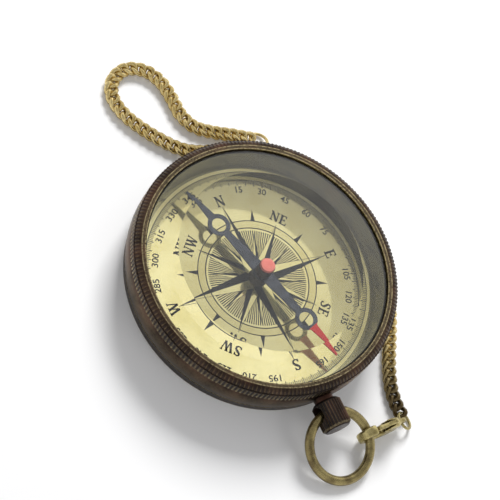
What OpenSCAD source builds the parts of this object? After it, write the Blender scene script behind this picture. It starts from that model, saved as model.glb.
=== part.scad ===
/* [Case] */
// Diameter over the milled edge
case_d = 70; // [60:1:80]
// Height from the back rim to the top of the bezel's lip
case_h = 13; // [12.5:0.1:16]
// Thickness of the case wall under the bezel
case_wall = 1.2; // [0.9:0.1:1.6]
// Thickness of the case floor
floor_t = 1.1; // [0.8:0.1:1.5]
// How far the rounded band swells out at its middle
band_swell = 0.5; // [0.2:0.1:0.6]

/* [Back] */
// Height of the rim round the back
rim_h = 3.4; // [2.8:0.1:3.6]
// How far the rim's edge on the table lies inside the milled edge
rim_inset = 1; // [0.7:0.1:1.6]
// Open line between the rim and the band
seam_gap = 0.3; // [0.1:0.05:0.4]
// Width of the rim's edge round the back plate
rim_edge_w = 5; // [4:0.1:8]
// Thickness of the back plate
plate_t = 0.6; // [0.4:0.1:0.8]
// Depth of the back plate's face behind the rim
plate_recess = 0.5; // [0.2:0.1:0.8]

/* [Bezel and glass] */
// Thickness of the bezel's milled side
bezel_w = 1.8; // [1.6:0.1:2.4]
// How far the bezel's lip reaches in over the glass, from the case wall's outside
lip_reach = 1.2; // [0.8:0.1:1.6]
// Width of the lip's flat top
lip_w = 1; // [0.8:0.1:1.6]
// Thickness of the lip at its opening
lip_t = 0.38; // [0.3:0.02:0.42]
// Height of the round shoulder between the milled edge and the lip's top
lip_rise = 1; // [0.8:0.1:1.5]
// Height of the milled edge
knurl_h = 2.3; // [1.6:0.1:2.6]
// Depth of the milled grooves
knurl_depth = 0.24; // [0.1:0.02:0.3]
// Number of milled ridges
knurl_count = 208; // [120:4:320]
// Open space round the edge of the glass
glass_play = 0.2; // [0.1:0.05:0.4]
// Width of the slope round the flat top of the glass
bevel_w = 8.7; // [6:0.1:12]
// Angle of that slope
bevel_angle = 16.6; // [10:0.1:18]
// Depth of the glass's flat underside below the top of the lip
glass_drop = 1.9; // [1.8:0.05:2]
// Thickness of the gasket under the glass
gasket_t = 0.6; // [0.4:0.1:1]
// Width of the gasket
gasket_w = 0.7; // [0.5:0.1:2]

/* [Dial] */
// Thickness of the dial
dial_t = 0.8; // [0.4:0.1:1.2]
// Width of the sloping ring round the dial, at its foot
spacer_w = 3.5; // [2.5:0.1:4]

/* [Needle] */
// Open space between the needle's tips and the ring round the dial
tip_gap = 2; // [1:0.1:4]
// Thickness of the needle's blade
needle_t = 0.3; // [0.2:0.05:0.5]
// Open space between the cap on the hub and the glass
cap_gap = 0.4; // [0.35:0.05:0.6]
// Distance from each tip to the middle of the ring in its arm
loop_setback = 10.5; // [8:0.1:13]
// Outer radius of the ring in each arm
loop_r = 3; // [2.4:0.1:3.4]
// Width of the metal round each ring
loop_w = 1.1; // [0.7:0.1:1.3]
// Half width of each arm beside the hub
arm_w = 1.9; // [1.4:0.1:2.4]
// Bearing of the red tip, clockwise from the dial's north
needle_bearing = 161; // [0:1:359]
// Radius of the hub
hub_r = 2.1; // [1.8:0.1:2.6]
// Height of the hub above the blade
hub_h = 3.25; // [3:0.05:3.4]
// Radius of the hub's bore
hub_bore_r = 0.9; // [0.7:0.05:1.1]
// Height of the cap on the hub
cap_h = 0.8; // [0.4:0.1:0.9]
// Radius of the pivot pin
pivot_r = 0.4; // [0.3:0.05:0.5]
// Radius of the pivot's foot
foot_r = 2.5; // [2:0.1:3.5]
// Height of the pivot's foot, as a share of the room under the hub
foot_h_share = 0.47; // [0.3:0.01:0.6]

/* [Crown and bow] */
// Radius of the crown
crown_r = 3.8; // [3.6:0.1:4.2]
// Length of the crown
crown_len = 7.4; // [7:0.1:9]
// How far the crown's middle lies above the middle of the band
crown_lift = 0.2; // [0:0.1:0.4]
// Depth of the crown's ribs
rib_depth = 0.22; // [0.1:0.02:0.35]
// Number of ribs round the crown
rib_count = 30; // [18:1:40]
// Radius of the neck between the case and the crown
neck_r = 2.5; // [2:0.1:3]
// Length of the neck
neck_len = 1.2; // [0.8:0.1:2]
// Radius of the bow from its middle to the middle of its wire
bow_r = 8.6; // [8:0.1:10]
// Diameter of the bow's wire
bow_wire_d = 2.4; // [2:0.1:2.5]

/* [Clasp] */
// Inner radius of the clasp's hook
hook_in_r = 2; // [1.9:0.05:2.2]
// Width of metal round the hook
hook_w = 1.3; // [1:0.1:1.5]
// Distance from the hook's centre to the clasp's eye
eye_at = 10.4; // [10:0.1:12]
// Outer radius of the eye
eye_r = 1.6; // [1.4:0.1:1.9]
// Radius of the hole in the eye
eye_hole_r = 0.9; // [0.7:0.05:1]
// Thickness of the clasp
clasp_t = 2.6; // [2.4:0.1:2.8]
// Thickness of the clasp's lever
lever_t = 1.2; // [0.9:0.1:1.4]
// Radius of the rivet that the lever turns on
rivet_r = 0.4; // [0.3:0.05:0.5]

/* [Chain] */
// Width of one link
link_w = 3.3; // [3.1:0.1:3.6]
// Length of one link
link_len = 4.4; // [4.3:0.1:4.7]
// Diameter of the chain's wire
link_wire_d = 0.95; // [0.85:0.05:1]
// Diameter over the ring that joins the chain to the clasp
joiner_d = 5.2; // [5:0.1:5.6]
// Diameter over the ring at the chain's free end
end_ring_d = 5.6; // [5.4:0.1:8]
// Diameter of the free ring's wire
end_ring_wire_d = 0.8; // [0.6:0.05:0.85]

/* [Hidden] */
$fn = 96;

// Running clearance round a shaft, and the play round a part that is pressed or laid in
run_fit = 0.05;
seat_fit = 0.02;
// How far a cutting shape runs past what it cuts
over = 1;

// Radii of the case, from the milled edge in
knurl_r = case_d / 2;
band_r = knurl_r - band_swell;
rim_foot_r = knurl_r - rim_inset;
plate_r = rim_foot_r - rim_edge_w;
thread_r = knurl_r - bezel_w;
bore_r = thread_r + run_fit;
lip_r = thread_r - lip_reach;
glass_r = thread_r - glass_play;
glass_flat_r = glass_r - bevel_w;
case_inner_r = thread_r - case_wall;
gasket_inner_r = case_inner_r - gasket_w;
dial_view_r = case_inner_r - spacer_w;
rim_bore_r = thread_r - seat_fit;
rim_round = 0.8;

// Heights from the table up
plate_z = plate_recess;
floor_z = plate_z + plate_t;
dial_z = floor_z + floor_t;
dial_top = dial_z + dial_t;
band_z = rim_h + seam_gap;
glass_z = case_h - glass_drop;
lip_under = case_h - lip_t;
lip_root_z = lip_under - (bore_r - lip_r) * tan(bevel_angle);
glass_edge_z = lip_root_z - run_fit;
glass_top = glass_edge_z + bevel_w * tan(bevel_angle);
gasket_z = glass_z - gasket_t;
bezel_gap = 0.2;
knurl_top = case_h - lip_rise;
bezel_z = knurl_top - knurl_h;
band_top = bezel_z - bezel_gap;
band_h = band_top - band_z;
wall_drop = 0.2;
wall_top = glass_z - wall_drop;

// Sizes of the needle and its bearing, from the glass down
needle_reach = dial_view_r - tip_gap;
loop_at = needle_reach - loop_setback;
hub_top = glass_z - cap_gap - cap_h;
blade_top = hub_top - hub_h;
blade_z = blade_top - needle_t;
hub_tail = 0.15;
hub_tail_r = 1.3;
foot_h = foot_h_share * (blade_z - hub_tail - dial_top);
jewel_h = 0.9;
jewel_cover = 0.3;
jewel_top = hub_top - jewel_cover;
jewel_z = jewel_top - jewel_h;
cup_h = 0.5;
cup_r = 0.6;
cup_tip_r = 0.1;
pin_gap = 0.08;
pin_tip_z = jewel_z + cup_h - pin_gap;
pin_point_h = 0.62;
pin_tip_r = 0.05;
pin_sink = 1.2;
cap_step = 0.15;
rivet_hole_r = 1;
tip_half_w = 0.25;

// The crown stands out from the case towards -Y, and the bow turns in its cross hole
crown_z = band_z + band_h / 2 + crown_lift;
neck_y = -knurl_r;
crown_y = neck_y - neck_len;
stud_r = 1.5;
stud_gap = 0.2;
stud_len = knurl_r - case_inner_r - stud_gap;
spigot_r = 1.2;
spigot_len = 0.45;
crown_chamfer = 0.7;
bow_setback = 2.8;
bow_y = crown_y - bow_setback;
// How far the curved wire strays from a straight line inside the crown
bow_sagitta = bow_r - sqrt(bow_r * bow_r - crown_r * crown_r);
bow_hole_play = 0.11;
bow_hole_r = bow_wire_d / 2 + bow_sagitta + bow_hole_play;
// The far side of the bow lies on the table
bow_droop = asin((crown_z - bow_wire_d / 2) / (2 * bow_r));

// The clasp's own frame: u runs from the hook to the eye, v across it, and w through it
hook_out_r = hook_in_r + hook_w;
mouth_len = 2;
wire_at = -0.35;
clasp_lean = -18;
shoulder_at = 6.5;
shoulder_w = 3;
// The clasp stands on the table on its shoulder
shoulder_low = shoulder_w * cos(clasp_lean) + clasp_t / 2 * abs(sin(clasp_lean));
clasp_slope = asin((crown_z - bow_r * sin(bow_droop) - shoulder_low) / (shoulder_at - wire_at));
waist_at = 9;
waist_w = 1.9;
eye_t = 1.5;
nose_at = 0.95;
tip_cut = 0.6;
gate_gap = 0.15;
pivot_at = [5.4, 0.9];
pivot_boss_r = 1.1;
lever_play = 0.12;
tab_at = [6.3, 3.9];
tab_r = 0.6;
spring_r = 0.42;
spring_wall = 0.18;
spring_len = 1.3;
spring_gap = 0.12;

// The chain lies on the table. Each point is a place on its middle line
route = [
    [21.2, -45.0, 1.7], [21.3, -42.0, 1.5], [22.2, -37.6, 1.4], [24.6, -32.2, 1.4], [28.0, -26.4, 1.4],
    [31.6, -20.2, 1.4], [35.1, -12.8, 1.4], [36.9, -5.2, 1.4], [37.2, 2.6, 1.4], [35.9, 10.3, 1.4],
    [32.9, 17.5, 1.4], [28.6, 24.0, 1.4], [23.0, 29.4, 1.4], [16.4, 33.5, 1.4], [9.0, 36.3, 1.4],
    [3.0, 37.8, 1.4], [-1.6, 40.0, 1.4], [-5.6, 43.8, 1.4], [-9.2, 48.4, 1.4], [-12.0, 53.4, 1.4],
    [-12.9, 58.6, 1.4], [-10.8, 63.2, 1.4], [-6.0, 65.4, 1.4], [-1.1, 63.8, 1.4], [1.8, 59.6, 1.4],
    [2.6, 54.4, 1.4], [2.8, 49.4, 1.4], [4.8, 45.0, 1.4], [9.2, 42.0, 1.4], [14.4, 39.6, 1.4],
    [19.6, 36.9, 1.4]
];
route_steps = 8;
// Links of the near stretch, which bends when the clasp or the bow is moved
near_links = 12;
link_play = 0.2;
link_pitch = link_len - 2 * link_wire_d - link_play;
link_roll = 45;
joiner_wire_d = 0.75;
joiner_hang = 28;
// How far the free ring's wire lies back in the last link, and how far the ring leans against that link
end_ring_sink = 0.5;
end_ring_roll = 20;

// Points of an arc round c from angle a to angle b
function arc(c, r, a, b, n = 8) = [
    for (i = [0:n]) c + r * [cos(a + (b - a) * i / n), sin(a + (b - a) * i / n)]
];

// Points of a ring with small ridges
function ridged(r, depth, n) = [
    for (i = [0:2 * n - 1]) (r - (i % 2) * depth) * [cos(180 * i / n), sin(180 * i / n)]
];

// A smooth curve through the route's points
function route_point(i) = route[min(max(i, 0), len(route) - 1)];
function curve_at(i, t) =
    let (a = route_point(i - 1), b = route_point(i), c = route_point(i + 1), d = route_point(i + 2))
    0.5 * (2 * b + (c - a) * t + (2 * a - 5 * b + 4 * c - d) * t * t + (3 * b - a - 3 * c + d) * t * t * t);
trail = [
    for (i = [0:len(route) - 2]) for (k = [0:route_steps - 1]) curve_at(i, k / route_steps),
    route[len(route) - 1]
];
function run_lengths(i = 0, sum = 0) = i == len(trail) - 1
    ? [sum]
    : concat([sum], run_lengths(i + 1, sum + norm(trail[i + 1] - trail[i])));
lengths = run_lengths();
trail_len = lengths[len(lengths) - 1];
function trail_table(axis) = [for (i = [0:len(trail) - 1]) [lengths[i], trail[i][axis]]];
trail_x = trail_table(0);
trail_y = trail_table(1);
trail_z = trail_table(2);
function along(s) = [lookup(s, trail_x), lookup(s, trail_y), lookup(s, trail_z)];
link_count = floor(trail_len / link_pitch);

// Turns a profile, drawn as radius and height, about the case's axis
module turned(points) {
    rotate_extrude() polygon(points);
}

// Moves what is drawn on the X axis out along the crown, towards -Y, at the crown's height
module on_crown(y) {
    translate([0, y, crown_z]) rotate([90, 0, 0]) children();
}

// The bow's own frame: its hinge is the X axis here, and its ring lies towards -Y
module bow_frame() {
    translate([0, bow_y, crown_z]) rotate([bow_droop, 0, 0]) children();
}

// The clasp's own frame, hooked on the bow's wire at +X
module clasp_frame() {
    bow_frame()
        translate([bow_r, -bow_r, 0])
            rotate([0, clasp_slope, 0])
                rotate([90 + clasp_lean, 0, 0])
                    translate([-wire_at, 0, 0])
                        children();
}

// Turned cup: floor, thick wall with a rounded band outside, and a thin neck under the bezel
module case_body() {
    half = band_h / 2;
    swell_r = (half * half + band_swell * band_swell) / (2 * band_swell);
    sweep = asin(half / swell_r);
    color("#4b3c32") difference() {
        turned(concat(
            [[0, floor_z], [rim_bore_r - seat_fit, floor_z], [rim_bore_r - seat_fit, band_z]],
            arc([knurl_r - swell_r, band_z + half], swell_r, -sweep, sweep, 10),
            [[thread_r, band_top], [thread_r, wall_top], [case_inner_r, wall_top],
             [case_inner_r, dial_z], [0, dial_z]]
        ));
        translate([0, 0, floor_z - over])
            cylinder(r = rivet_hole_r + seat_fit, h = floor_t + 2 * over);
        on_crown(-case_inner_r + over) cylinder(r = stud_r + seat_fit, h = knurl_r - case_inner_r + 2 * over);
    }
}

// Rim round the back that holds the back plate
module back_rim() {
    color("#5a4a3a") turned(concat(
        [[plate_r + seat_fit, 0]],
        arc([rim_foot_r - rim_round, rim_round], rim_round, -90, 0),
        [[band_r, rim_h], [rim_bore_r, rim_h], [rim_bore_r, floor_z], [plate_r + seat_fit, floor_z]]
    ));
}

// Bare round plate in the back
module back_plate() {
    color("#d8c88f") translate([0, 0, plate_z]) cylinder(r = plate_r, h = plate_t);
}

// Dial disc with a hole for the pivot
module dial() {
    color("#e6dca6") difference() {
        translate([0, 0, dial_z]) cylinder(r = case_inner_r - seat_fit, h = dial_t);
        translate([0, 0, dial_z - over])
            cylinder(r = rivet_hole_r + seat_fit, h = dial_t + 2 * over);
    }
}

// Ring with a sloping inside that holds the dial down and carries the gasket
module spacer_ring() {
    color("#5b584c") turned([
        [dial_view_r, dial_top], [case_inner_r - seat_fit, dial_top],
        [case_inner_r - seat_fit, gasket_z], [gasket_inner_r, gasket_z]
    ]);
}

// Flat seal under the glass
module gasket() {
    color("#262422") difference() {
        translate([0, 0, gasket_z]) cylinder(r = case_inner_r - seat_fit, h = gasket_t);
        translate([0, 0, gasket_z - over]) cylinder(r = gasket_inner_r, h = gasket_t + 2 * over);
    }
}

// Thick glass, flat below, with a wide slope round a flat top
module crystal() {
    color("#cfd8d4", 0.4) turned([
        [0, glass_z], [glass_r, glass_z], [glass_r, glass_edge_z], [glass_flat_r, glass_top], [0, glass_top]
    ]);
}

// Screwed ring with a milled edge, which holds the glass down
module bezel() {
    shoulder_share = 0.4;
    shoulder_r = knurl_r - shoulder_share * lip_w;
    crest_r = lip_r + lip_w;
    shoulder_steps = 6;
    color("#4b3c32") difference() {
        union() {
            translate([0, 0, bezel_z])
                linear_extrude(knurl_h) polygon(ridged(knurl_r, knurl_depth, knurl_count));
            turned(concat(
                [[bore_r, knurl_top - knurl_h / 2], [shoulder_r, knurl_top - knurl_h / 2]],
                [for (a = [0:90 / shoulder_steps:90])
                    [crest_r + (shoulder_r - crest_r) * cos(a), knurl_top + lip_rise * sin(a)]],
                [[lip_r, case_h], [lip_r, lip_under], [bore_r, lip_root_z]]
            ));
        }
        translate([0, 0, bezel_z - over]) cylinder(r = bore_r, h = lip_root_z - bezel_z + over);
    }
}

// Foot that is riveted through the dial and carries the pivot pin
module pivot_foot() {
    color("#b59f5f") difference() {
        union() {
            translate([0, 0, dial_top]) cylinder(r1 = foot_r, r2 = foot_r / 2, h = foot_h);
            translate([0, 0, floor_z + seat_fit]) cylinder(r = rivet_hole_r, h = dial_top - floor_z);
        }
        translate([0, 0, dial_top + foot_h - pin_sink]) cylinder(r = pivot_r + seat_fit, h = pin_sink + over);
    }
}

// Hardened pin that the needle turns on
module pivot_pin() {
    bottom = dial_top + foot_h - pin_sink;
    color("#9a9a98") {
        translate([0, 0, bottom]) cylinder(r = pivot_r, h = pin_tip_z - pin_point_h - bottom);
        translate([0, 0, pin_tip_z - pin_point_h]) cylinder(r1 = pivot_r, r2 = pin_tip_r, h = pin_point_h);
    }
}

// Moves what points along +X to the needle's bearing
module to_bearing() {
    rotate([0, 0, 90 - needle_bearing]) children();
}

// One arm of the needle: tapered root, ring and tapered tip
module needle_arm() {
    root_end_w_share = 0.5;
    tip_root_w_share = 0.6;
    polygon([
        [0, -arm_w], [loop_at - loop_r + loop_w / 2, -arm_w * root_end_w_share],
        [loop_at - loop_r + loop_w / 2, arm_w * root_end_w_share], [0, arm_w]
    ]);
    polygon([
        [loop_at + loop_r - loop_w / 2, -arm_w * tip_root_w_share], [needle_reach, -tip_half_w],
        [needle_reach, tip_half_w], [loop_at + loop_r - loop_w / 2, arm_w * tip_root_w_share]
    ]);
    translate([loop_at, 0]) difference() {
        circle(r = loop_r);
        circle(r = loop_r - loop_w);
    }
}

// Flat blade with two equal arms
module needle() {
    boss_r = hub_r + loop_w / 2;
    color("#3c3d47") translate([0, 0, blade_z]) to_bearing() linear_extrude(needle_t) difference() {
        union() {
            needle_arm();
            rotate([0, 0, 180]) needle_arm();
            circle(r = boss_r);
        }
        circle(r = hub_tail_r + seat_fit);
    }
}

// Hub that carries the blade and hangs on the pin
module needle_hub() {
    color("#b59f5f") difference() {
        union() {
            translate([0, 0, blade_top]) cylinder(r = hub_r, h = hub_h);
            translate([0, 0, blade_z - hub_tail]) cylinder(r = hub_tail_r, h = needle_t + 2 * hub_tail);
        }
        translate([0, 0, blade_z - hub_tail - over])
            cylinder(r = hub_bore_r, h = jewel_top - blade_z + hub_tail + over);
    }
}

// Bearing stone in the hub, with a cup for the pin's point
module jewel() {
    color("#a8323c") difference() {
        translate([0, 0, jewel_z]) cylinder(r = hub_bore_r - seat_fit, h = jewel_h);
        translate([0, 0, jewel_z]) cylinder(r1 = cup_r, r2 = cup_tip_r, h = cup_h);
    }
}

// Red cap on the hub
module hub_cap() {
    edge_h_share = 0.85;
    color("#f58c82") turned([
        [0, hub_top], [hub_r - cap_step, hub_top], [hub_r - cap_step, hub_top + cap_h / 2],
        [hub_r - 2 * cap_step, hub_top + cap_h * edge_h_share], [hub_r / 2, hub_top + cap_h],
        [0, hub_top + cap_h]
    ]);
}

// Short neck that is riveted into the case wall
module crown_neck() {
    color("#3c322b") {
        on_crown(neck_y) cylinder(r = neck_r, h = neck_len);
        on_crown(neck_y + stud_len) cylinder(r = stud_r, h = stud_len);
        on_crown(crown_y) cylinder(r = spigot_r, h = spigot_len);
    }
}

// Ribbed crown with a cross hole for the bow
module crown() {
    color("#3c322b") difference() {
        intersection() {
            on_crown(crown_y) linear_extrude(crown_len) polygon(ridged(crown_r, rib_depth, rib_count));
            on_crown(crown_y) rotate_extrude() polygon([
                [0, 0], [crown_r - crown_chamfer, 0], [crown_r + over, crown_chamfer + over],
                [crown_r + over, crown_len - crown_chamfer - over], [crown_r - crown_chamfer, crown_len],
                [0, crown_len]
            ]);
        }
        translate([-crown_r - over, bow_y, crown_z]) rotate([0, 90, 0])
            cylinder(r = bow_hole_r, h = 2 * (crown_r + over));
        on_crown(crown_y + over) cylinder(r = spigot_r + seat_fit, h = spigot_len + seat_fit + over);
    }
}

// Round wire ring through the crown
module bow() {
    color("#8a7d50") bow_frame() translate([0, -bow_r, 0])
        rotate_extrude() translate([bow_r, 0]) circle(d = bow_wire_d);
}

// Space that the lever fills in the clasp: the open side of the hook and a slot round the rivet
module lever_space() {
    slot_t = lever_t + 2 * lever_play;
    translate([nose_at, hook_in_r - gate_gap, -clasp_t])
        cube([pivot_at[0] - pivot_boss_r - nose_at + gate_gap, hook_out_r, 2 * clasp_t]);
    translate([nose_at, pivot_at[1] - pivot_boss_r - gate_gap, -slot_t / 2])
        cube([tab_at[0] + tab_r + gate_gap - nose_at, 2 * hook_out_r, slot_t]);
}

// Cast body of the clasp: hook, shoulders and eye
module clasp_body() {
    color("#958a5a") clasp_frame() difference() {
        translate([0, 0, -clasp_t / 2]) linear_extrude(clasp_t) difference() {
            union() {
                circle(r = hook_out_r);
                polygon([
                    [0, -hook_out_r], [mouth_len * 2, -hook_out_r], [shoulder_at, -shoulder_w],
                    [waist_at, -waist_w], [eye_at, -eye_r], [eye_at, eye_r], [waist_at, waist_w],
                    [shoulder_at, shoulder_w], [mouth_len * 2, hook_out_r], [0, hook_out_r]
                ]);
                translate([eye_at, 0]) circle(r = eye_r);
            }
            circle(r = hook_in_r);
            translate([0, -hook_in_r]) square([mouth_len, 2 * hook_in_r]);
            translate([mouth_len, 0]) circle(r = hook_in_r);
            translate([eye_at, 0]) circle(r = eye_hole_r);
        }
        lever_space();
        for (side = [-1, 1])
            translate([waist_at, -waist_w, (side * (eye_t + clasp_t) - clasp_t) / 2])
                cube([eye_at + eye_r, 2 * waist_w, clasp_t]);
        translate([pivot_at[0], pivot_at[1], -clasp_t])
            cylinder(r = rivet_r + seat_fit, h = 2 * clasp_t);
        translate([shoulder_at - over, pivot_at[1] - spring_r, 0]) rotate([0, 90, 0])
            cylinder(r = spring_r + seat_fit, h = over + spring_gap + spring_len);
    }
}

// Sprung gate of the clasp, with the tab that a thumb pushes
module clasp_lever() {
    gate_out = hook_out_r - gate_gap;
    color("#958a5a") clasp_frame() translate([0, 0, -lever_t / 2]) linear_extrude(lever_t) difference() {
        union() {
            polygon([
                [nose_at + gate_gap, hook_in_r], [pivot_at[0] - pivot_boss_r, hook_in_r - gate_gap],
                pivot_at, [pivot_at[0] + pivot_boss_r, pivot_at[1]],
                [tab_at[0] + tab_r, tab_at[1]], [tab_at[0] - tab_r, tab_at[1]],
                [pivot_at[0] - pivot_boss_r / 2, gate_out], [nose_at + gate_gap + tip_cut, gate_out]
            ]);
            translate(pivot_at) circle(r = pivot_boss_r);
            translate(tab_at) circle(r = tab_r);
        }
        translate(pivot_at) circle(r = rivet_r + run_fit);
    }
}

// Rivet that the lever turns on
module clasp_rivet() {
    color("#a59a6a") clasp_frame() translate([pivot_at[0], pivot_at[1], -clasp_t / 2])
        cylinder(r = rivet_r, h = clasp_t);
}

// Small spring behind the lever
module clasp_spring() {
    color("#9a9a98") clasp_frame()
        translate([shoulder_at + spring_gap, pivot_at[1] - spring_r, 0]) rotate([0, 90, 0]) difference() {
            cylinder(r = spring_r, h = spring_len);
            translate([0, 0, -over]) cylinder(r = spring_r - spring_wall, h = spring_len + 2 * over);
        }
}

// Small ring that joins the chain to the clasp's eye
module clasp_ring() {
    mid_r = (joiner_d - joiner_wire_d) / 2;
    color("#958a5a") clasp_frame() translate([eye_at, 0, 0]) rotate([0, 0, -joiner_hang])
        translate([mid_r, 0, 0]) rotate([90, 0, 0])
            rotate_extrude() translate([mid_r, 0]) circle(d = joiner_wire_d);
}

// One link with straight sides and round ends, drawn along X
module link() {
    mid_r = (link_w - link_wire_d) / 2;
    half = (link_len - link_w) / 2;
    for (side = [-1, 1]) {
        translate([side * half, 0, 0]) rotate([0, 0, -90 * side])
            rotate_extrude(angle = 180) translate([mid_r, 0]) circle(d = link_wire_d);
        translate([-half, side * mid_r, 0]) rotate([0, 90, 0]) cylinder(d = link_wire_d, h = 2 * half);
    }
}

// Links from number a up to number b along the route, each rolled against the next
module chain_links(a, b) {
    for (k = [a:b]) {
        s = (k + 0.5) * link_pitch;
        way = along(s + link_pitch / 2) - along(s - link_pitch / 2);
        flat = norm([way[0], way[1]]);
        translate(along(s)) rotate([0, -atan2(way[2], flat), atan2(way[1], way[0])])
            rotate([k % 2 == 0 ? -link_roll : link_roll, 0, 0]) link();
    }
}

// Stretch of chain between the clasp and the table
module chain_near() {
    color("#a08c55") chain_links(0, near_links - 1);
}

// Rest of the chain, lying round the case
module chain_far() {
    color("#c8af6e") chain_links(near_links, link_count - 1);
}

// Plain ring at the chain's free end
module chain_end_ring() {
    mid_r = (end_ring_d - end_ring_wire_d) / 2;
    s = link_count * link_pitch;
    way = along(s) - along(s - link_pitch);
    color("#c8af6e") translate(along(s)) rotate([0, 0, atan2(way[1], way[0])])
        rotate([link_count % 2 == 0 ? -end_ring_roll : end_ring_roll, 0, 0])
            translate([mid_r - end_ring_sink, 0, 0])
                rotate_extrude() translate([mid_r, 0]) circle(d = end_ring_wire_d);
}

case_body();
back_rim();
back_plate();
dial();
spacer_ring();
gasket();
crystal();
bezel();
pivot_foot();
pivot_pin();
needle();
needle_hub();
jewel();
hub_cap();
crown_neck();
crown();
bow();
clasp_body();
clasp_lever();
clasp_rivet();
clasp_spring();
clasp_ring();
chain_near();
chain_far();
chain_end_ring();
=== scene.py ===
import math

import bmesh
import bpy
from mathutils import Matrix, Vector


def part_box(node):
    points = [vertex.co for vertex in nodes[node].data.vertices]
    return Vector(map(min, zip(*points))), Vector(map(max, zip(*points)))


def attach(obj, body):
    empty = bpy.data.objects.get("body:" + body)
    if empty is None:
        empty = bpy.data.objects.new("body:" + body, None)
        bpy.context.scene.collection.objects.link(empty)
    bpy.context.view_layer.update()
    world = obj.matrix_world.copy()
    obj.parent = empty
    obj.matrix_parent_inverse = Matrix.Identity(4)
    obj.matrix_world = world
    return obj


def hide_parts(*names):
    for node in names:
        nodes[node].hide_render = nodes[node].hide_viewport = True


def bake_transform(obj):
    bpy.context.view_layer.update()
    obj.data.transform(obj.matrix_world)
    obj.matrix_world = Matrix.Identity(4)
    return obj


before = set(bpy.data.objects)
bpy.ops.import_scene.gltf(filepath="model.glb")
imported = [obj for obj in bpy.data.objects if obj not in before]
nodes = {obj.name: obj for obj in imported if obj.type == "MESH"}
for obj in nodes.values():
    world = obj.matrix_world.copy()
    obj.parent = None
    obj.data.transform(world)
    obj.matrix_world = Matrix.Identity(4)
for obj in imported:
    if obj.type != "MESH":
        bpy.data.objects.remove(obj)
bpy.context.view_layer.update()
scene = bpy.context.scene

# Camera: a long lens above the left of the crown, looking down on the glass, tilted as it was
# held. The compass lies flat on the table here.
camera = bpy.data.objects.new("camera", bpy.data.cameras.new("camera"))
scene.collection.objects.link(camera)
camera.data.sensor_width = 36
camera.data.lens = 144
camera.data.clip_start = 0.01
camera_at = (-0.2418, -0.1253, 0.4246)
right, up, back = (0.8335, -0.4300, 0.3469), (0.2674, 0.8634, 0.4278), (-0.4835, -0.2639, 0.8346)
tilt = Matrix((right, up, back)).transposed().to_4x4()
camera.matrix_world = Matrix.Translation(camera_at) @ tilt
scene.camera = camera


# Chain: gilt brass curb chain of twisted wire links, hooked by a small ring to the clasp. It
# runs round the far side of the case, turns back on the table behind it, and ends in a ring.
class Value:
    """A number or colour that varies over a surface. Sums on it add the nodes that work it out."""

    def __init__(self, finish, socket):
        self.finish, self.socket = finish, socket

    def maths(self, operation, *others):
        """A Math node on this value and others."""
        return self.finish.node("Math", {"operation": operation}, dict(enumerate((self, *others))))

    def __add__(self, other):
        return self.maths("ADD", other)

    def __sub__(self, other):
        return self.maths("SUBTRACT", other)

    def __rsub__(self, other):
        return self * -1 + other

    def __mul__(self, other):
        return self.maths("MULTIPLY", other)

    def __mod__(self, other):
        return self.maths("FLOORED_MODULO", other)

    def __abs__(self):
        return self.maths("ABSOLUTE")

    def most(self, other):
        """The higher of two values."""
        return self.maths("MAXIMUM", other)

    def rise(self, low, high):
        """0 up to low, 1 from high on, and smooth between."""
        ends = {"Value": self, "From Min": low, "From Max": high}
        return self.finish.node("MapRange", {"interpolation_type": "SMOOTHSTEP"}, ends)

    def line(self, at, width):
        """1 within half the width of a value, else 0."""
        return 1 - abs(self - at).rise(width * 0.35, width * 0.65)

    __radd__, __rmul__ = __add__, __mul__


class Finish:
    """The nodes of a material or of the sky. node() adds any node, and shine() sets what it shows."""

    def __init__(self, name, sky=None):
        self.material = sky or bpy.data.materials.new(name)
        self.material.use_nodes = True
        self.tree = self.material.node_tree
        self.surface = self.tree.nodes["Background" if sky else "Principled BSDF"]

    def node(self, kind, settings, values, out=0):
        """Adds a node with its settings and its inputs, and gives one of its outputs."""
        made = self.tree.nodes.new("ShaderNode" + kind)
        for name, value in settings.items():
            setattr(made, name, value)
        self.fill(made, values)
        return Value(self, made.outputs[out])

    def fill(self, made, values):
        """Links or sets each named input."""
        for name, value in values.items():
            if isinstance(value, Value):
                self.tree.links.new(value.socket, made.inputs[name])
            elif isinstance(value, tuple) and made.inputs[name].type == "RGBA":
                made.inputs[name].default_value = (*value, 1)
            else:
                made.inputs[name].default_value = value

    def shine(self, **values):
        """Sets how the surface looks, by the shader's own input names."""
        self.fill(self.surface, {name.replace("_", " "): value for name, value in values.items()})

    def place(self):
        """The point on the surface in millimetres."""
        metres = self.node("TexCoord", {}, {}, "Object")
        return self.node("VectorMath", {"operation": "SCALE"}, {0: metres, "Scale": 1000.0})

    def parts(self, vector):
        """The x, y and z of a point."""
        return [self.node("SeparateXYZ", {}, {0: vector}, axis) for axis in range(3)]

    def stretched(self, vector, *scales):
        """A point with its x, y and z scaled apart, so that a noise on it runs in streaks."""
        return self.node("VectorMath", {"operation": "MULTIPLY"}, {0: vector, 1: scales})

    def noise(self, vector, scale, detail=3.0, roughness=0.5):
        """Cloudy noise from 0 to 1, with that many patches to a millimetre."""
        inputs = {"Vector": vector, "Scale": scale, "Detail": detail, "Roughness": roughness}
        return self.node("TexNoise", {}, inputs)

    def mix(self, share, a, b):
        """The colour a where the share is 0, b where it is 1."""
        return self.node("Mix", {"data_type": "RGBA"}, {0: share, 6: a, 7: b}, 2)

    def relief(self, height, strength, depth):
        """A bump of that depth in metres."""
        return self.node("Bump", {}, {"Strength": strength, "Distance": depth, "Height": height})

    def on(self, *objects):
        """Gives each object this material alone."""
        for o in objects:
            o.data.materials.clear()
            o.data.materials.append(self.material)


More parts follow.
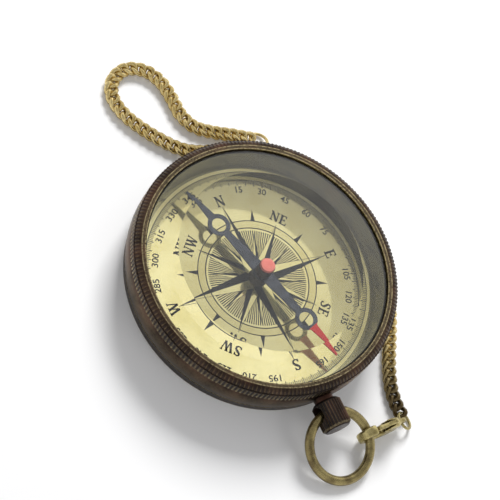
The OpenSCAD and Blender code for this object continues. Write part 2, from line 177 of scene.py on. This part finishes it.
def paint(red, green, blue):
    """A colour written as the eye sees it, 0 to 255, as light."""
    shares = (c / 255 for c in (red, green, blue))
    return tuple(c / 12.92 if c < 0.0405 else ((c + 0.055) / 1.055) ** 2.4 for c in shares)


all_smooth = 180


def piece(name, mesh, finish, smooth_below=40):
    """Makes a finished bmesh into an object. Its edges look round below that angle in degrees."""
    data = bpy.data.meshes.new(name)
    mesh.to_mesh(data)
    mesh.free()
    data.shade_smooth()
    data.set_sharp_from_angle(angle=math.radians(smooth_below))
    made = bpy.data.objects.new(name, data)
    scene.collection.objects.link(made)
    finish.on(made)
    return made


# The route in millimetres, from the clasp's ring to the free end
route = [
    Vector(p) / 1000
    for p in (
        (21.2, -45.0, 1.7), (21.3, -42.0, 1.5), (22.2, -37.6, 1.4), (24.6, -32.2, 1.4), (28.0, -26.4, 1.4),
        (31.6, -20.2, 1.4), (35.1, -12.8, 1.4), (36.9, -5.2, 1.4), (37.2, 2.6, 1.4), (35.9, 10.3, 1.4),
        (32.9, 17.5, 1.4), (28.6, 24.0, 1.4), (23.0, 29.4, 1.4), (16.4, 33.5, 1.4), (9.0, 36.3, 1.4),
        (3.0, 37.8, 1.4), (-1.6, 40.0, 1.4), (-5.6, 43.8, 1.4), (-9.2, 48.4, 1.4), (-12.0, 53.4, 1.4),
        (-12.9, 58.6, 1.4), (-10.8, 63.2, 1.4), (-6.0, 65.4, 1.4), (-1.1, 63.8, 1.4), (1.8, 59.6, 1.4),
        (2.6, 54.4, 1.4), (2.8, 49.4, 1.4), (4.8, 45.0, 1.4), (9.2, 42.0, 1.4), (14.4, 39.6, 1.4),
        (19.6, 36.9, 1.4),
    )
]
link_pitch, chain_wide = 0.0023, 0.0039
# Half the length and half the width of a link, how far its sides stand up and down, and its wire
link_long, link_wide, link_twist, link_wire = 0.00170, 0.00134, 0.00056, 0.00128
wire_sides, link_sides = 6, 14
# The near links, and after how many of them the clasp's turning and the bow's would die out. The near links
# are made in two pieces, split at the first of these.
near_links, clasp_turn, bow_turn = 12, 3, 6


def smooth_route(points, steps=8):
    """A curve through the points, in that many short steps from each to the next."""
    line = []
    for i in range(len(points) - 1):
        a, b, c, d = (points[min(max(k, 0), len(points) - 1)] for k in range(i - 1, i + 3))
        for t in (k / steps for k in range(steps)):
            bend = 2 * b + (c - a) * t + (2 * a - 5 * b + 4 * c - d) * t**2
            line.append(0.5 * (bend + (3 * b - a - 3 * c + d) * t**3))
    return line + [points[-1]]


trail = smooth_route(route)
reach = [0.0]
for before, after in zip(trail, trail[1:]):
    reach.append(reach[-1] + (after - before).length)


def along(s):
    """The place a length s along the chain."""
    i = max(k for k in range(len(trail) - 1) if reach[k] <= s or k == 0)
    return trail[i].lerp(trail[i + 1], min(1.0, max(0.0, (s - reach[i]) / (reach[i + 1] - reach[i]))))


link_count = int(reach[-1] / link_pitch)

link = bmesh.new()
bmesh.ops.create_circle(
    link, segments=wire_sides, radius=link_wire / 2,
    matrix=Matrix.Translation((link_wide, 0, 0)) @ Matrix.Rotation(math.pi / 2, 4, "X"),
)
bmesh.ops.spin(
    link, geom=link.verts[:] + link.edges[:], cent=(0, 0, 0), axis=(0, 0, 1), angle=math.tau,
    steps=link_sides, use_merge=True,
)
# The round ring of wire is drawn out to an oval and twisted
for v in link.verts:
    angle = math.atan2(v.co.y, v.co.x)
    v.co += Vector(((link_long - link_wide) * math.cos(angle), 0, link_twist * math.sin(2 * angle)))
bmesh.ops.recalc_face_normals(link, faces=link.faces)
one_link = bpy.data.meshes.new("one_link")
link.to_mesh(one_link)
link.free()


def linked(first, last):
    """Links number first up to last on the route, each turned to run along it."""
    chain = bmesh.new()
    for k in range(first, last):
        s = (k + 0.5) * link_pitch
        way = (along(s + link_pitch / 2) - along(s - link_pitch / 2)).normalized()
        side = Vector((0, 0, 1)).cross(way).normalized()
        turn = Matrix((way, side, way.cross(side))).transposed().to_4x4()
        start = len(chain.verts)
        chain.from_mesh(one_link)
        chain.verts.ensure_lookup_table()
        bmesh.ops.transform(chain, matrix=Matrix.Translation(along(s)) @ turn, verts=chain.verts[start:])
    return chain


gilt = Finish("gilt_chain")
spot = gilt.place()
gold, pale_gold, grime_and_shade_brown = paint(206, 182, 118), paint(228, 206, 146), paint(58, 44, 30)
tone = gilt.noise(spot, 0.35, 2.0)
grime = gilt.noise(spot, 1.6, 4.0, 0.6).rise(0.5, 0.75)
# The links turn dark towards the clasp, which is painted shade by the crown.
gilt_from, dark_from = -20.0, -44.0
painted_shade_near_clasp = gilt.parts(spot)[1].rise(gilt_from, dark_from)
colour = gilt.mix(tone.rise(0.35, 0.65), gold, pale_gold)
# Random grime, and the painted shade near the clasp, both darken the links.
colour = gilt.mix((grime * 0.6).most(painted_shade_near_clasp * 0.9), colour, grime_and_shade_brown)
gilt.shine(
    Base_Color=colour, Metallic=0.9, Roughness=0.22 + 0.2 * grime,
    Normal=gilt.relief(gilt.noise(spot, 3.0), 0.25, 0.00008),
)
clasp_end = piece("chain_clasp_end", linked(0, clasp_turn), gilt, all_smooth)
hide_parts("chain_near")
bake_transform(clasp_end)
case_end = piece("chain_case_end", linked(clasp_turn, near_links), gilt, all_smooth)
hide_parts("chain_near")
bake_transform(case_end)
chain = piece("chain", linked(near_links, link_count), gilt, all_smooth)
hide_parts("chain_far")
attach(chain, "case")
gilt.on(nodes["chain_end_ring"])

# Clasp: a small cast lobster clasp of bare brass, hooked over the bow. The body and the sprung
# gate are rounded copies of the solids, and the rivet and the ring are plain wire.
cast = Finish("cast_brass")
spot = cast.place()
cloud = cast.noise(spot, 0.5, 3.0).rise(0.35, 0.7)
pits = cast.noise(spot, 4.0, 3.0, 0.6).rise(0.5, 0.75)
bare_brass, dull_brass, dark_pit = paint(196, 182, 126), paint(150, 136, 88), paint(66, 58, 38)
colour = cast.mix(cloud, bare_brass, dull_brass)
colour = cast.mix(pits * 0.6, colour, dark_pit)
cast.shine(
    Base_Color=colour, Metallic=0.9, Roughness=0.27 + 0.2 * pits,
    Normal=cast.relief(cast.noise(spot, 1.6, 4.0), 0.3, 0.00015),
)


def tumbled(name, node, grain, passes, body):
    """A copy of a cast solid with its edges worn round by tumbling, which stands for it. The
    grain is the size of its mesh, and more passes wear it rounder."""
    mesh = bmesh.new()
    mesh.from_mesh(nodes[node].data)
    bmesh.ops.remove_doubles(mesh, verts=mesh.verts, dist=1e-6)
    made = piece(name, mesh, cast, all_smooth)
    even = made.modifiers.new("even", "REMESH")
    even.mode, even.voxel_size, even.use_smooth_shade = "VOXEL", grain, True
    worn = made.modifiers.new("worn", "SMOOTH")
    worn.factor, worn.iterations = 0.5, passes
    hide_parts(node)
    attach(made, body)


tumbled("clasp", "clasp_body", 0.00015, 110, "clasp")
tumbled("clasp_gate", "clasp_lever", 0.00012, 40, "clasp_lever")
cast.on(nodes["clasp_ring"], nodes["clasp_rivet"], nodes["clasp_spring"])

# Bow: one round brass wire bent to a ring through the crown's cross hole, where it swings. It is
# bare and worn dull, with dark pits.
wire = Finish("bow_wire")
spot = wire.place()
cloud = wire.noise(spot, 0.4, 3.0).rise(0.35, 0.7)
pits = wire.noise(spot, 3.5, 4.0, 0.6).rise(0.52, 0.75)
colour = wire.mix(cloud, paint(160, 146, 98), paint(112, 98, 66))
colour = wire.mix(pits * 0.7, colour, paint(58, 48, 34))
wire.shine(
    Base_Color=colour, Metallic=0.9, Roughness=0.25 + 0.25 * pits,
    Normal=wire.relief(wire.noise(spot, 1.2, 4.0), 0.25, 0.00012),
)
wire.on(nodes["bow"])

# Case: turned brass with a dark brown antique finish, worn to the metal on its edges, with painted
# shade low down and on the crown. The body, the rim round the back, the milled bezel, the neck and
# the crown all have this finish.
# Heights and radii here are in millimetres
rim_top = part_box("back_rim")[1].z * 1000
milled_low, lip_top = (corner.z * 1000 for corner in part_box("bezel"))
outer_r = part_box("bezel")[1].x * 1000
band_low, band_high = rim_top + 0.3, milled_low - 0.2
red_brown, dirt_and_shade_dark, worn_brass = paint(98, 64, 50), paint(24, 19, 17), paint(188, 172, 130)


def antique(name, wear, dark=paint(50, 37, 30), light=paint(88, 68, 54)):
    """Dark brown brass. wear() takes a place on it in millimetres and its radius, and gives
    where it is rubbed bare, where it is darkened, by dirt and in places by painted shade, and how high its
    surface stands."""
    brown = Finish(name)
    spot = brown.place()
    x, y, z = brown.parts(spot)
    rubbed, darkened, height = wear(x, y, z, (x * x + y * y).maths("SQRT"))
    fine = brown.noise(spot, 2.2, 4.0, 0.65)
    specks = brown.noise(spot, 5.5, 2.0).rise(0.64, 0.74)
    dents = brown.noise(spot, 1.1, 5.0, 0.6)
    colour = brown.mix(brown.noise(spot, 0.16, 4.0, 0.6).rise(0.38, 0.64), dark, light)
    colour = brown.mix(brown.noise(spot, 0.09, 2.0).rise(0.52, 0.7) * 0.6, colour, red_brown)
    colour = brown.mix(darkened, colour, dirt_and_shade_dark)
    bare = (rubbed * fine.rise(0.3, 0.62)).most(specks * 0.3)
    brown.shine(
        Base_Color=brown.mix(bare, colour, worn_brass), Metallic=0.86 - 0.6 * darkened,
        Roughness=0.3 + 0.16 * fine.rise(0.4, 0.7) + 0.2 * darkened - 0.08 * bare,
        Normal=brown.relief(dents * 0.4 + height, 0.35, 0.0002),
    )
    return brown


def banded(x, y, z, r):
    """Wear of the case: bare on both edges of its band, with dirt in the seam, and darker low down, which
    is painted shade.
    """
    edges = (z.line(band_low + 0.08, 0.4) * 0.8).most(z.line(band_high - 0.08, 0.4) * 0.5)
    in_seam = 1 - z.rise(band_low - 0.02, band_low + 0.06)
    # Painted shade: the band grows darker towards the table.
    painted_low_shade = 1 - z.rise(1.0, 7.5)
    return edges.most(r.rise(outer_r - 0.3, outer_r) * 0.15), (in_seam * 0.8).most(painted_low_shade * 0.95), 0.0


def rimmed(x, y, z, r):
    """Wear of the rim: bare on its upper edge and where it slides on the table. It is darkened all over,
    which is painted shade low on the case, and most in the seam at its top.
    """
    rubbed = (z.line(rim_top - 0.04, 0.3) * 0.5).most((1 - z.rise(0.1, 1.0)) * 0.6)
    return rubbed, (z.rise(rim_top - 0.02, rim_top) * 0.8).most(0.65), 0.0


antique("case_brass", banded).on(nodes["case_body"])
antique("rim_brass", rimmed).on(nodes["back_rim"])
ridge_count, milled_top = 208, lip_top - 1.0
ridge_tip, ridge_foot = outer_r - 0.03, outer_r - 0.24
# The shoulder's inner end, the lip's outer edge, middle and inner edge, and its worn band
shoulder_from, lip_outer, lip_middle, lip_inner = 33.05, 32.98, 32.56, 32.1
worn_at, worn_wide = 32.5, 1.3


def milled(x, y, z, r):
    """Wear of the bezel, with painted highlight on the lower ends of its ridges. Its ridges run up over the
    round shoulder to the two thin edges of the lip.
    """
    ridge = (x.maths("ARCTAN2", y) * ridge_count).maths("COSINE")
    over = z.rise(milled_top + 0.02, milled_top + 0.06) * r.rise(shoulder_from, shoulder_from + 1.2)
    side = 1 - z.rise(milled_top - 0.02, milled_top + 0.02)
    tips = r.rise(ridge_tip - 0.13, ridge_tip) * side
    edges = (r.line(lip_inner, 0.26) * 0.95).most(r.line(lip_outer, 0.24) * 0.9)
    lip = r.line(worn_at, worn_wide) * z.rise(lip_top - 0.1, lip_top - 0.02) * 0.2
    # The ridge tips are rubbed bare, and brighter at their lower ends, which is painted highlight.
    rubbed = (tips * (0.95 - 0.6 * z.rise(milled_low + 0.1, milled_low + 1.3))).most(edges).most(lip)
    darkened = (1 - r.rise(ridge_foot, ridge_foot + 0.12)) * side * 0.9
    darkened = darkened.most(over * (1 - ridge.rise(-0.9, 0.1)) * 0.5).most(r.line(lip_middle, 0.3) * 0.3)
    return rubbed.most(over * ridge.rise(0.4, 1.0) * 0.2), darkened, over * ridge


antique("bezel_brass", milled, paint(46, 34, 28), paint(76, 58, 47)).on(nodes["bezel"])

crown_axis_z = sum(corner.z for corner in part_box("crown")) / 2 * 1000
crown_rib_r, crown_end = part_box("crown")[1].x * 1000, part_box("crown")[0].y * 1000
# The edge where the crown's end slants in, and where its ribs end
slant_from, ribs_from = crown_end + 0.5, crown_end + 0.6


def ribbed(x, y, z, r):
    """Wear of the crown, on the tips of its ribs and round its end."""
    out = (x * x + (z - crown_axis_z) * (z - crown_axis_z)).maths("SQRT")
    side = y.rise(ribs_from, ribs_from + 0.2)
    rubbed = (out.rise(crown_rib_r - 0.1, crown_rib_r) * side * 0.14).most(y.line(slant_from, 0.5) * 0.3)
    grooves = out.rise(crown_rib_r - 0.5, crown_rib_r - 0.4)
    grooves = grooves * (1 - out.rise(crown_rib_r - 0.22, crown_rib_r - 0.1))
    return rubbed, grooves * side, 0.0


# The crown and its neck take darker copies of the case's colours: painted shade.
antique("crown_brass", ribbed, paint(26, 20, 19), paint(44, 33, 29)).on(nodes["crown"], nodes["crown_neck"])

# Back plate: a flat disc of pale polished brass, pressed into the rim. It is plain but for two
# thin circles turned near its edge, and its brushing runs one way.
plate = Finish("plate_brass_bare")
spot = plate.place()
x, y, z = plate.parts(spot)
r = (x * x + y * y).maths("SQRT")
outer_circle, inner_circle = 27.6, 26.9
circles = r.line(outer_circle, 0.25).most(r.line(inner_circle, 0.16))
brushed = plate.noise(plate.stretched(spot, 0.15, 6.0, 1.0), 1.0, 3.0)
tarnish = plate.noise(spot, 0.09, 4.0).rise(0.45, 0.75)
colour = plate.mix(tarnish * 0.5, paint(226, 210, 160), paint(190, 168, 110))
plate.shine(
    Base_Color=plate.mix(circles * 0.8, colour, paint(90, 74, 44)), Metallic=0.85,
    Roughness=0.2 + 0.14 * brushed + 0.2 * circles,
    Normal=plate.relief(brushed - circles * 2, 0.2, 0.00003),
)
plate.on(nodes["back_plate"])

# Dial: a polished pale brass disc with its rose, rings and degree marks printed in black. The
# letters and numbers are thin printed shapes of their own, with their tops outwards.
dial_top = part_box("dial")[1].z
face = Finish("dial_brass_printed")
spot = face.place()
x, y, z = face.parts(spot)
r = (x * x + y * y).maths("SQRT")
bearing = x.maths("ARCTAN2", y)


def spoke(count, offset=0.0):
    """Distances along and across the nearest of evenly spaced spokes."""
    sector = math.tau / count
    a = (bearing + (sector / 2 - math.radians(offset))) % sector - sector / 2
    return r * a.maths("COSINE"), r * a.maths("SINE")


def rose_point(count, offset, tip, taper, ink):
    """Lays points of the rose over what is printed: one half black, the other bare with a black edge."""
    ahead, across = spoke(count, offset)
    edge = (tip - ahead) * taper - abs(across)
    inside = edge.rise(-0.03, 0.03)
    dark = across.rise(-0.05, 0.05).most(1 - edge.rise(0.06, 0.16))
    return ink * (1 - inside) + inside * dark


# The print, in millimetres from the middle: two rings with a darker band between them, rays
# inside these, the points of the rose, spikes on the outer ring, and degree marks by the edge
inner_ring, outer_ring, tick_end = 13.8, 15.85, 27.45
ray_count, ray_start, ray_end = 136, 4.6, 13.0
spike_tip, spike_taper = 19.1, 0.19
ahead, across = spoke(ray_count)
ink = (1 - (abs(across) - r * 0.01).rise(0.0, 0.03)) * r.rise(ray_start, ray_start + 0.4)
ink = ink * (1 - r.rise(ray_end, ray_end + 0.2))
for count, offset, tip_at, taper in ((8, 22.5, 12.6, 0.12), (4, 45.0, 16.8, 0.13), (4, 0.0, 21.0, 0.13)):
    ink = rose_point(count, offset, tip_at, taper, ink)
ink = ink.most(r.line(inner_ring, 0.3)).most(r.line(outer_ring, 0.26))
ahead, across = spoke(8, 22.5)
spike = ((spike_tip - ahead) * spike_taper - abs(across)).rise(-0.04, 0.04)
ink = ink.most(spike * r.rise(outer_ring - 0.15, outer_ring + 0.05))
for count, start, thick in ((360, 26.2, 0.06), (72, 25.8, 0.09)):
    tick = 1 - abs(spoke(count)[1]).rise(thick, thick + 0.06)
    ink = ink.most(tick * r.rise(start, start + 0.1) * (1 - r.rise(tick_end - 0.05, tick_end + 0.05)))
ink = ink.most(r.line(tick_end, 0.2))
patina = face.noise(spot, 0.12, 4.0, 0.6)
in_band = r.rise(inner_ring, inner_ring + 0.1) * (1 - r.rise(outer_ring - 0.05, outer_ring + 0.05))
colour = face.mix(patina.rise(0.4, 0.7) * 0.4, paint(238, 224, 164), paint(214, 194, 118))
colour = face.mix(in_band * 0.25, colour, paint(176, 158, 92))
scuffs = face.noise(face.stretched(spot, 0.4, 5.0, 1.0), 1.0, 3.0)
face.shine(
    Base_Color=face.mix(ink, colour, paint(22, 20, 19)), Metallic=0.82 - 0.82 * ink,
    Roughness=0.07 + 0.06 * scuffs + 0.3 * ink, Normal=face.relief(scuffs, 0.1, 0.00001),
)
face.on(nodes["dial"])

printed = Finish("printing_ink")
spot = printed.place()
printed.shine(
    Base_Color=printed.mix(printed.noise(spot, 3.0), paint(20, 18, 17), paint(38, 34, 30)), Roughness=0.5,
    Normal=printed.relief(printed.noise(spot, 6.0), 0.2, 0.00001),
)
# Each letter's width, and its strokes by both ends and their width, as shares of its height
letter_shares = {
    "N": (0.84, (
        (0.14, 0, 0.14, 1, 0.07), (0.7, 0, 0.7, 1, 0.07), (0.13, 0.97, 0.69, 0.03, 0.17),
        (0, 0.03, 0.28, 0.03, 0.06), (0, 0.97, 0.2, 0.97, 0.06), (0.56, 0.97, 0.84, 0.97, 0.06),
    )),
    "E": (0.7, (
        (0.17, 0, 0.17, 1, 0.17), (0, 0.97, 0.62, 0.97, 0.07), (0, 0.03, 0.66, 0.03, 0.07),
        (0.17, 0.52, 0.48, 0.52, 0.07), (0.6, 0.98, 0.6, 0.76, 0.06), (0.65, 0.02, 0.67, 0.26, 0.06),
        (0.48, 0.41, 0.48, 0.63, 0.06),
    )),
    "W": (1.12, (
        (0.1, 0.97, 0.35, 0.02, 0.16), (0.36, 0.02, 0.56, 0.9, 0.07), (0.5, 0.97, 0.77, 0.02, 0.16),
        (0.78, 0.02, 1.0, 0.97, 0.07), (-0.02, 0.97, 0.28, 0.97, 0.06), (0.38, 0.97, 0.68, 0.97, 0.06),
        (0.88, 0.97, 1.12, 0.97, 0.06),
    )),
    "S": (0.62, (
        (0.51, 0.98, 0.51, 0.72, 0.06), (0.5, 0.8, 0.44, 0.92, 0.07), (0.44, 0.92, 0.29, 0.97, 0.08),
        (0.29, 0.97, 0.14, 0.91, 0.1), (0.14, 0.91, 0.1, 0.77, 0.14), (0.1, 0.77, 0.18, 0.63, 0.17),
        (0.18, 0.63, 0.33, 0.53, 0.19), (0.33, 0.53, 0.46, 0.41, 0.19), (0.46, 0.41, 0.51, 0.26, 0.17),
        (0.51, 0.26, 0.45, 0.1, 0.14), (0.45, 0.1, 0.29, 0.03, 0.1), (0.29, 0.03, 0.13, 0.07, 0.08),
        (0.13, 0.07, 0.06, 0.22, 0.07), (0.05, 0.28, 0.05, 0.02, 0.06),
    )),
}
# The ink's thickness in metres, and the gap between two letters and how far the ink spreads, as
# shares of their height
film, gap_share, spread_share = 0.00002, 0.1, 0.03
# In metres, where the tops of the letters stand and how tall they are, for the four main points
# and the others, and where the numbers stand, how tall they are and how much they are thickened
main_letters, other_letters = (0.0223, 0.0029), (0.0188, 0.00275)
number_r, number_size, number_bold = 0.0246, 0.0024, 0.00003
lettering = bmesh.new()
for k, word in enumerate(("N", "NE", "E", "SE", "S", "SW", "W", "NW")):
    radius, tall = main_letters if k % 2 == 0 else other_letters
    start = -(sum(letter_shares[c][0] for c in word) + gap_share * (len(word) - 1)) / 2
    place = Matrix.Rotation(-math.radians(45 * k), 4, "Z")
    place = place @ Matrix.Translation((0, radius - tall / 2, dial_top + film))
    for c in word:
        for ax, ay, bx, by, wide in letter_shares[c][1]:
            a, b = Vector((start + ax, ay, 0)) * tall, Vector((start + bx, by, 0)) * tall
            lay = Matrix.Translation((a + b) / 2) @ (b - a).to_track_quat("X", "Z").to_matrix().to_4x4()
            stroke = Matrix.Diagonal(((b - a).length, (wide + spread_share) * tall, film, 1))
            bmesh.ops.create_cube(lettering, size=1, matrix=place @ lay @ stroke)
        start += letter_shares[c][0] + gap_share
for degree in (d for d in range(15, 360, 15) if d % 90):
    curve = bpy.data.curves.new("number", "FONT")
    curve.body, curve.size, curve.offset = str(degree), number_size, number_bold
    curve.align_x, curve.align_y = "CENTER", "CENTER"
    curve.extrude, curve.resolution_u = film / 2, 4
    holder = bpy.data.objects.new("number", curve)
    scene.collection.objects.link(holder)
    flat = bpy.data.meshes.new_from_object(holder.evaluated_get(bpy.context.evaluated_depsgraph_get()))
    turn = Matrix.Rotation(-math.radians(degree), 4, "Z")
    flat.transform(turn @ Matrix.Translation((0, number_r, dial_top + film)))
    lettering.from_mesh(flat)
    bpy.data.objects.remove(holder)
lettering = piece("dial_lettering", lettering, printed)
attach(lettering, "case")

# Wall ring and gasket: a turned brass ring, gone grey, holds the dial down, and a black rubber
# seal lies on it under the glass.
wall = Finish("wall_ring_brass")
spot = wall.place()
streak = wall.noise(wall.stretched(spot, 0.1, 0.1, 3.0), 1.0, 2.0)
wall.shine(
    Base_Color=wall.mix(streak.rise(0.3, 0.7), paint(96, 95, 93), paint(108, 106, 102)), Metallic=0.85,
    Roughness=0.14 + 0.04 * streak, Normal=wall.relief(streak, 0.05, 0.00001),
)
wall.on(nodes["spacer_ring"])
rubber = Finish("black_seal")
spot = rubber.place()
rubber.shine(
    Base_Color=rubber.mix(rubber.noise(spot, 1.5), paint(24, 23, 22), paint(40, 38, 36)), Roughness=0.6,
    Normal=rubber.relief(rubber.noise(spot, 4.0), 0.3, 0.00005),
)
rubber.on(nodes["gasket"])

# Needle: a thin blade of blued steel with a red tip, on a turned brass hub with a bearing stone
# inside and a red enamelled cap, turning on a hardened pin in a brass foot.
# The tip is red from this far out, in millimetres, and at rest it points this far round
red_from = 18.4
pointing = math.radians(161)
blued = Finish("blued_steel")
spot = blued.place()
x, y, z = blued.parts(spot)
out = x * math.sin(pointing) + y * math.cos(pointing)
cloud = blued.noise(spot, 0.6, 3.0)
colour = blued.mix(cloud.rise(0.3, 0.7), paint(66, 67, 74), paint(92, 94, 102))
tip = out.rise(red_from, red_from + 0.1)
tip_red = blued.mix(cloud, paint(196, 40, 34), paint(170, 26, 24))
blued.shine(
    Base_Color=blued.mix(tip, colour, tip_red),
    Metallic=0.85 - 0.85 * tip, Roughness=0.2 + 0.08 * cloud, Normal=blued.relief(cloud, 0.1, 0.00003),
)
blued.on(nodes["needle"])
turned = Finish("turned_brass")
spot = turned.place()
lines = turned.noise(turned.stretched(spot, 0.2, 0.2, 9.0), 1.0, 2.0)
turned.shine(
    Base_Color=turned.mix(lines, paint(82, 74, 60), paint(48, 44, 38)), Metallic=0.85,
    Roughness=0.24 + 0.1 * lines, Normal=turned.relief(lines, 0.25, 0.00004),
)
turned.on(nodes["needle_hub"], nodes["pivot_foot"])
steel = Finish("pin_steel_hard")
spot = steel.place()
steel.shine(
    Base_Color=steel.mix(steel.noise(spot, 2.0), paint(150, 150, 152), paint(190, 190, 190)), Metallic=1.0,
    Roughness=0.2 + 0.1 * steel.noise(spot, 5.0), Normal=steel.relief(steel.noise(spot, 6.0), 0.1, 0.00002),
)
steel.on(nodes["pivot_pin"])
stone = Finish("bearing_stone")
spot = stone.place()
stone.shine(
    Base_Color=stone.mix(stone.noise(spot, 1.0), paint(150, 30, 44), paint(188, 52, 66)),
    Roughness=0.08 + 0.05 * stone.noise(spot, 3.0),
)
stone.on(nodes["jewel"])
enamel = Finish("red_enamel")
spot = enamel.place()
enamel.shine(
    Base_Color=enamel.mix(enamel.noise(spot, 0.8), paint(238, 138, 124), paint(226, 108, 98)),
    Roughness=0.3 + 0.1 * enamel.noise(spot, 4.0),
    Normal=enamel.relief(enamel.noise(spot, 2.0), 0.15, 0.00005),
)
enamel.on(nodes["hub_cap"])

# Glass: one thick clear disc, ground with a wide slope round a flat top. The bezel's lip holds it
# down on the seal. It lets most of the lamp's light through, as a thin pane would.
clear = Finish("clear_glass")
spot = clear.place()
clear.shine(
    Base_Color=(0.97, 0.99, 0.985), Roughness=0.012 * clear.noise(spot, 0.3, 2.0),
    IOR=1.5, Transmission_Weight=1.0,
)
to_lamp = clear.node("LightPath", {}, {}, "Is Shadow Ray")
through = clear.node("BsdfTransparent", {}, {"Color": (0.93, 0.95, 0.94)})
shown = clear.node("MixShader", {}, {0: to_lamp, 1: Value(clear, clear.surface.outputs[0]), 2: through})
clear.tree.links.new(shown.socket, clear.tree.nodes["Material Output"].inputs["Surface"])
clear.on(nodes["crystal"])

# Table and light: a plain white table under a soft sky, with one large lamp behind the right of
# the compass, which casts the soft shadow, and a weak one on the near right.
table_wide, table_drop = 6, 0.00002
table_mesh = bmesh.new()
bmesh.ops.create_grid(table_mesh, x_segments=1, y_segments=1, size=table_wide / 2)
bmesh.ops.translate(table_mesh, verts=table_mesh.verts, vec=(0, 0, -table_drop))
table_data = bpy.data.meshes.new("table")
table_mesh.to_mesh(table_data)
table = bpy.data.objects.new("table", table_data)
scene.collection.objects.link(table)
paper = Finish("table_white")


def seen(finish):
    """1 where the eye looks straight at it, or by way of metal or glass."""
    ways = ("Camera", "Glossy", "Transmission")
    straight, mirrored, past_glass = (finish.node("LightPath", {}, {}, f"Is {way} Ray") for way in ways)
    return straight.most(mirrored).most(past_glass)


black, white = (0.0, 0.0, 0.0), (1.0, 1.0, 1.0)
paper.shine(
    Base_Color=(0.84, 0.84, 0.84), Roughness=0.9, Specular_IOR_Level=0.0,
    Emission_Color=paper.mix(seen(paper), black, white), Emission_Strength=0.1,
)
paper.on(table)

scene.world = bpy.data.worlds.new("soft_sky")
sky = Finish("soft_sky", scene.world)
facing = sky.node("TexCoord", {}, {}, "Generated")
height = sky.parts(facing)[2]
# A broad bright panel behind the right of the dial, which the dial and the glass mirror
panel_round, panel_up = math.radians(61), math.radians(35)
panel = Vector((math.sin(panel_round), math.cos(panel_round), math.tan(panel_up))).normalized()
near_panel = sky.node("VectorMath", {"operation": "DOT_PRODUCT"}, {0: facing, 1: tuple(panel)}, 1)
low_sky, high_sky, panel_light = (0.8, 0.8, 0.81), (0.46, 0.46, 0.47), (1.3, 1.3, 1.31)
soft = sky.mix(height.rise(0.6, 0.85), low_sky, high_sky)
sky.shine(
    Color=sky.mix(near_panel.rise(0.88, 0.98), soft, panel_light),
    Strength=0.6 + 0.4 * seen(sky),
)


def lamp(name, bearing, height, distance, size, power):
    """A square lamp that looks at the compass from that bearing and height in degrees."""
    light = bpy.data.lights.new(name, "AREA")
    light.size, light.energy = size, power
    made = bpy.data.objects.new(name, light)
    scene.collection.objects.link(made)
    a, e = math.radians(bearing), math.radians(height)
    way = Vector((math.sin(a) * math.cos(e), math.cos(a) * math.cos(e), math.sin(e)))
    turn = way.to_track_quat("Z", "Y").to_matrix().to_4x4()
    made.matrix_world = Matrix.Translation(way * distance) @ turn
    # Polished metal and glass mirror the sky's panel, and no lamp
    made.visible_glossy = made.visible_transmission = False


lamp("key", 40, 38, 0.9, 0.36, 10.0)
lamp("fill", 165, 35, 0.9, 0.4, 0.8)

scene.view_settings.view_transform = "Standard"
